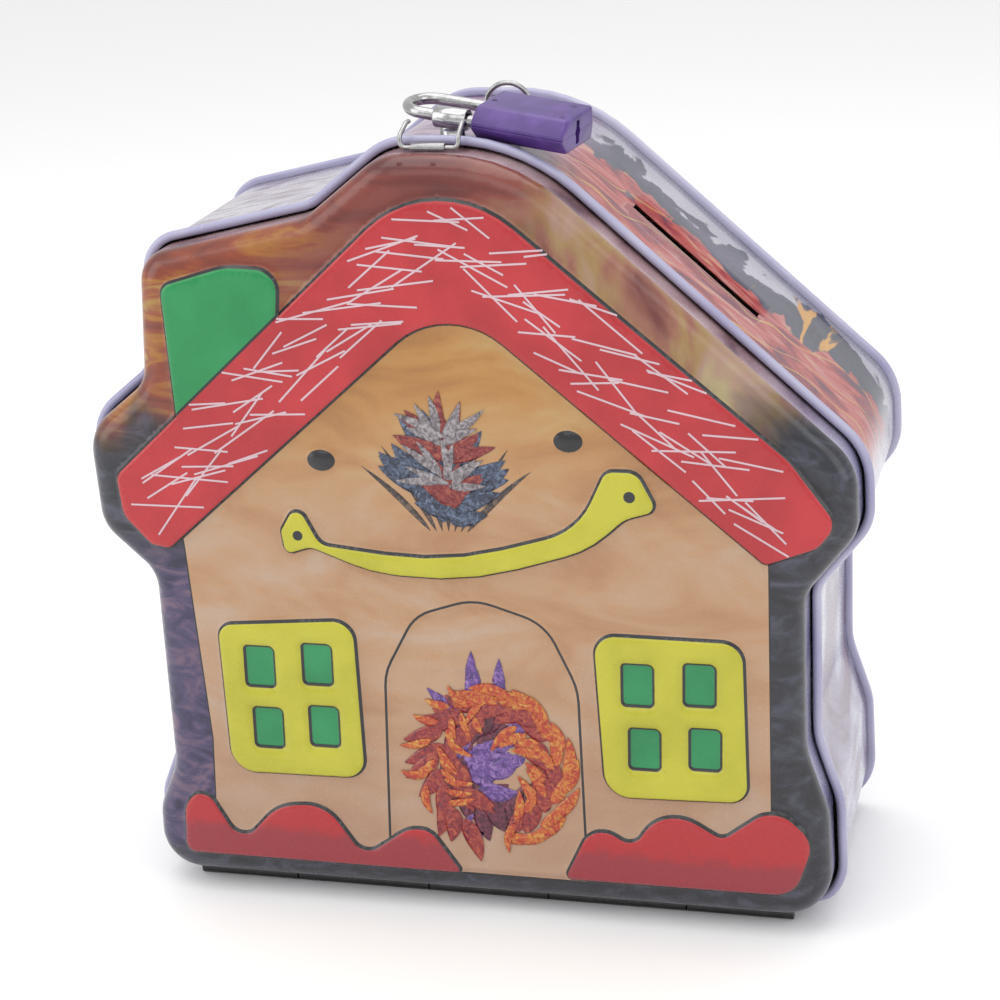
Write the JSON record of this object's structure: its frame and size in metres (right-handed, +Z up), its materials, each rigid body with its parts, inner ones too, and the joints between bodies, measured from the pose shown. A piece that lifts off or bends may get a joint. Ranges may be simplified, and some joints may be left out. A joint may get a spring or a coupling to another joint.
{
  "type": "tin money box",
  "caption": "House-shaped tin money box with a hinged embossed lid, coin slot in the roof and a small padlock on the ridge.",
  "frame": {"origin": "middle of the underside of the overall box, on the ground", "axes": "+Z up, -Y out of the lid's face (the front), +X to the right seen from the front"},
  "size_m": [0.1524, 0.0604, 0.1588],
  "materials": {
    "printed_tin": "gloss",
    "bright_steel": "polished",
    "dark_steel": "satin",
    "lock_paint": "gloss"
  },
  "bodies": {
    "tin": {"body_band": "printed_tin", "back_panel": "printed_tin", "hinge_leaf_body": "dark_steel", "hinge_pin": "bright_steel", "eye_staple": "bright_steel", "roof_loop": "bright_steel"},
    "front_lid": {"lid": "printed_tin", "hinge_leaf_lid": "dark_steel"},
    "bail_clip": {"bail": "bright_steel"},
    "lock_shackle": {"shackle": "bright_steel"},
    "lock_case": {"case_upper": "lock_paint", "case_lower": "lock_paint", "case_rivets": "dark_steel", "stop_pin": "dark_steel", "ward_plate": "bright_steel", "latch_spring": "bright_steel", "shackle_spring": "bright_steel"},
    "lock_bolt": {"latch_bolt": "bright_steel"}
  },
  "joints": [
    {"name": "lid_hinge", "type": "hinge", "parent": "tin", "child": "front_lid", "pos_m": [0, -0.0219, 0.0015], "axis": [1, 0, 0], "range_deg": [0, 90]},
    {"name": "bail_swing", "type": "hinge", "parent": "front_lid", "child": "bail_clip", "pos_m": [-0.0032, -0.0231, 0.1513], "axis": [1, 0, 0], "range_deg": [0, 95]},
    {"name": "lock_swing", "type": "hinge", "parent": "tin", "child": "lock_shackle", "pos_m": [-0.0011, -0.0145, 0.155], "axis": [0.9709, -0.2064, -0.1219], "range_deg": [0, 110]},
    {"name": "case_slide", "type": "slide", "parent": "lock_shackle", "child": "lock_case", "axis": [0.9709, -0.2064, -0.1219], "range_m": [0, 0.006]},
    {"name": "bolt_slide", "type": "slide", "parent": "lock_case", "child": "lock_bolt", "axis": [0.2175, 0.9722, 0.0865], "range_m": [0, 0.001]}
  ]
}
